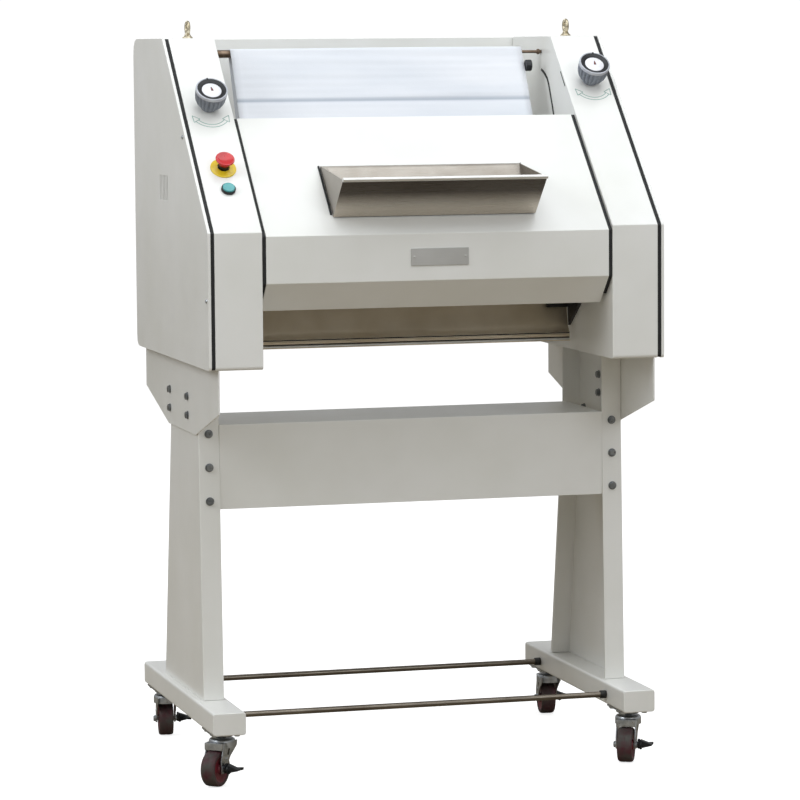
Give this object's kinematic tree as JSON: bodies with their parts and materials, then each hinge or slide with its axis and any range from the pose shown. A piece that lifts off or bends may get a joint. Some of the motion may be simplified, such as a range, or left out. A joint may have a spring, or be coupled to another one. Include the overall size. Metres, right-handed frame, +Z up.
{
  "type": "dough sheeter",
  "caption": "Wheeled dough sheeter and moulder: side housings, hinged hood with feed hopper, sheeting rollers, felt belt and moulding board on a stand.",
  "frame": {"origin": "on the floor, under the middle of the machine's overall box", "axes": "+Z up, +X to the right seen from the operator's side, -Y the operator's side"},
  "size_m": [1.0064, 0.794, 1.588],
  "materials": {
    "white_paint": "gloss powder coat, off-white",
    "stainless": "brushed along the machine's width",
    "zinc": "bright zinc plate",
    "black_rubber": "matt extruded rubber",
    "black_steel": "black paint",
    "black_plastic": "moulded, fine grain",
    "felt": "woven felt, white",
    "knob_grey": "moulded grey plastic",
    "estop_red": "gloss red",
    "estop_yellow": "gloss yellow",
    "start_green": "gloss green",
    "roller_white": "turned food-grade plastic",
    "frame_grey": "matt grey",
    "yellow_zinc": "yellow passivated steel",
    "motor_grey": "grey machine enamel",
    "caster_wheel": "maroon polyurethane, worn grey tread"
  },
  "bodies": {
    "machine": {"foot_left": "white_paint", "leg_left": "white_paint", "shoulder_plate_left": "white_paint", "housing_left": "white_paint", "side_cover_left": "white_paint", "side_seal_left": "black_rubber", "hood_seal_left": "black_rubber", "side_frame_left": "frame_grey", "lifting_eye_left": "yellow_zinc", "foot_right": "white_paint", "leg_right": "white_paint", "shoulder_plate_right": "white_paint", "housing_right": "white_paint", "side_cover_right": "white_paint", "side_seal_right": "black_rubber", "hood_seal_right": "black_rubber", "side_frame_right": "frame_grey", "lifting_eye_right": "yellow_zinc", "cross_beam": "white_paint", "rear_cover": "white_paint", "tie_rod_front": "stainless", "tie_rod_rear": "stainless", "discharge_plate": "stainless", "hood_hinge_rod": "stainless", "plate_bracket": "black_steel", "start_bezel": "knob_grey", "estop_collar": "estop_yellow", "drive_chain": "frame_grey", "felt_belt": "felt", "motor": "motor_grey", "caster_front_left_plate": "zinc", "caster_front_right_plate": "zinc", "caster_rear_left_plate": "zinc", "caster_rear_right_plate": "zinc"},
    "hood_unit": {"hood": "white_paint", "hopper": "stainless"},
    "gap_knob_unit": {"gap_knob": "knob_grey"},
    "board_knob_unit": {"board_knob": "knob_grey"},
    "gap_carriage_unit": {"gap_carriage": "frame_grey"},
    "upper_sheeting_roller": {"sheeting_roller_upper": "roller_white"},
    "lower_sheeting_roller": {"sheeting_roller_lower": "roller_white"},
    "belt_drive_roller": {"belt_roller_bottom": "zinc", "driven_sprocket": "zinc"},
    "belt_top_roller": {"belt_roller_top": "zinc"},
    "motor_sprocket": {"drive_sprocket": "zinc"},
    "board_unit": {"moulding_board": "felt"},
    "estop_unit": {"estop_button": "estop_red"},
    "start_unit": {"start_button": "start_green"},
    "caster_front_left_swivel": {"caster_front_left_fork": "zinc"},
    "caster_front_left_wheel_unit": {"caster_front_left_wheel": "caster_wheel"},
    "caster_front_left_brake_unit": {"caster_front_left_brake": "black_plastic"},
    "caster_front_right_swivel": {"caster_front_right_fork": "zinc"},
    "caster_front_right_wheel_unit": {"caster_front_right_wheel": "caster_wheel"},
    "caster_front_right_brake_unit": {"caster_front_right_brake": "black_plastic"},
    "caster_rear_left_swivel": {"caster_rear_left_fork": "zinc"},
    "caster_rear_left_wheel_unit": {"caster_rear_left_wheel": "caster_wheel"},
    "caster_rear_left_brake_unit": {"caster_rear_left_brake": "black_plastic"},
    "caster_rear_right_swivel": {"caster_rear_right_fork": "zinc"},
    "caster_rear_right_wheel_unit": {"caster_rear_right_wheel": "caster_wheel"},
    "caster_rear_right_brake_unit": {"caster_rear_right_brake": "black_plastic"}
  },
  "joints": [
    {"name": "hood_hinge", "type": "hinge", "parent": "machine", "child": "hood_unit", "pos_m": [0, -0.0906, 1.365], "axis": [-1, 0, 0], "range_deg": [0, 75]},
    {"name": "gap_knob_turn", "type": "hinge", "parent": "machine", "child": "gap_knob_unit", "pos_m": [-0.425, -0.07506, 1.40579], "axis": [0, -0.6834, 0.7301], "range_deg": [-721, 2161]},
    {"name": "board_knob_turn", "type": "hinge", "parent": "machine", "child": "board_knob_unit", "pos_m": [0.432, -0.02505, 1.45261], "axis": [0, -0.6834, 0.7301], "range_deg": [-1801, 1801]},
    {"name": "gap_slide", "type": "slide", "parent": "machine", "child": "gap_carriage_unit", "axis": [0, 0.7312, 0.6821], "range_m": [-0.004, 0.012]},
    {"name": "upper_sheeting_spin", "type": "hinge", "parent": "gap_carriage_unit", "child": "upper_sheeting_roller", "pos_m": [0, -0.158, 1.189], "axis": [1, 0, 0], "continuous": true},
    {"name": "lower_sheeting_spin", "type": "hinge", "parent": "machine", "child": "lower_sheeting_roller", "pos_m": [0, -0.22, 1.131], "axis": [1, 0, 0], "continuous": true},
    {"name": "belt_drive_spin", "type": "hinge", "parent": "machine", "child": "belt_drive_roller", "pos_m": [0, -0.1166, 1.0096], "axis": [1, 0, 0], "continuous": true},
    {"name": "belt_top_spin", "type": "hinge", "parent": "machine", "child": "belt_top_roller", "pos_m": [0, 0.145, 1.516], "axis": [1, 0, 0], "continuous": true},
    {"name": "motor_spin", "type": "hinge", "parent": "machine", "child": "motor_sprocket", "pos_m": [0.39, 0.251, 0.96], "axis": [1, 0, 0], "continuous": true},
    {"name": "board_slide", "type": "slide", "parent": "machine", "child": "board_unit", "axis": [0, -0.8744, 0.4852], "range_m": [-0.01, 0.01]},
    {"name": "estop_push", "type": "slide", "parent": "machine", "child": "estop_unit", "axis": [0, -0.6834, 0.7301], "range_m": [-0.005, 0], "stiffness_N_per_m": 1200, "springref_m": 0.003},
    {"name": "start_push", "type": "slide", "parent": "machine", "child": "start_unit", "axis": [0, -0.6834, 0.7301], "range_m": [-0.003, 0], "stiffness_N_per_m": 600, "springref_m": 0.002},
    {"name": "caster_front_left_swivel_turn", "type": "hinge", "parent": "machine", "child": "caster_front_left_swivel", "pos_m": [-0.447, -0.231, 0.1], "axis": [0, 0, 1], "continuous": true},
    {"name": "caster_front_left_wheel_spin", "type": "hinge", "parent": "caster_front_left_swivel", "child": "caster_front_left_wheel_unit", "pos_m": [-0.46707, -0.25329, 0.0375], "axis": [0.7431, -0.6691, 0], "continuous": true},
    {"name": "caster_front_left_brake_press", "type": "hinge", "parent": "caster_front_left_swivel", "child": "caster_front_left_brake_unit", "pos_m": [-0.46707, -0.25329, 0.0375], "axis": [-0.7431, 0.6691, 0], "range_deg": [0, 25]},
    {"name": "caster_front_right_swivel_turn", "type": "hinge", "parent": "machine", "child": "caster_front_right_swivel", "pos_m": [0.447, -0.231, 0.1], "axis": [0, 0, 1], "continuous": true},
    {"name": "caster_front_right_wheel_spin", "type": "hinge", "parent": "caster_front_right_swivel", "child": "caster_front_right_wheel_unit", "pos_m": [0.43338, -0.25773, 0.0375], "axis": [0.891, -0.454, 0], "continuous": true},
    {"name": "caster_front_right_brake_press", "type": "hinge", "parent": "caster_front_right_swivel", "child": "caster_front_right_brake_unit", "pos_m": [0.43338, -0.25773, 0.0375], "axis": [-0.891, 0.454, 0], "range_deg": [0, 25]},
    {"name": "caster_rear_left_swivel_turn", "type": "hinge", "parent": "machine", "child": "caster_rear_left_swivel", "pos_m": [-0.447, 0.328, 0.1], "axis": [0, 0, 1], "continuous": true},
    {"name": "caster_rear_left_wheel_spin", "type": "hinge", "parent": "caster_rear_left_swivel", "child": "caster_rear_left_wheel_unit", "pos_m": [-0.44283, 0.35771, 0.0375], "axis": [-0.9903, 0.1392, 0], "continuous": true},
    {"name": "caster_rear_left_brake_press", "type": "hinge", "parent": "caster_rear_left_swivel", "child": "caster_rear_left_brake_unit", "pos_m": [-0.44283, 0.35771, 0.0375], "axis": [0.9903, -0.1392, 0], "range_deg": [0, 25]},
    {"name": "caster_rear_right_swivel_turn", "type": "hinge", "parent": "machine", "child": "caster_rear_right_swivel", "pos_m": [0.447, 0.328, 0.1], "axis": [0, 0, 1], "continuous": true},
    {"name": "caster_rear_right_wheel_spin", "type": "hinge", "parent": "caster_rear_right_swivel", "child": "caster_rear_right_wheel_unit", "pos_m": [0.45014, 0.35784, 0.0375], "axis": [-0.9945, 0.1045, 0], "continuous": true},
    {"name": "caster_rear_right_brake_press", "type": "hinge", "parent": "caster_rear_right_swivel", "child": "caster_rear_right_brake_unit", "pos_m": [0.45014, 0.35784, 0.0375], "axis": [0.9945, -0.1045, 0], "range_deg": [0, 25]}
  ],
  "couplings": [
    {"joint": "gap_knob_turn", "follows": "gap_slide", "rad_per_m": 3141.6},
    {"joint": "board_knob_turn", "follows": "board_slide", "rad_per_m": 3141.6},
    {"joint": "belt_top_spin", "follows": "belt_drive_spin", "ratio": 2.9412},
    {"joint": "motor_spin", "follows": "belt_drive_spin", "ratio": 1.6667},
    {"joint": "lower_sheeting_spin", "follows": "belt_drive_spin", "ratio": -0.8},
    {"joint": "upper_sheeting_spin", "follows": "belt_drive_spin", "ratio": 0.8}
  ]
}
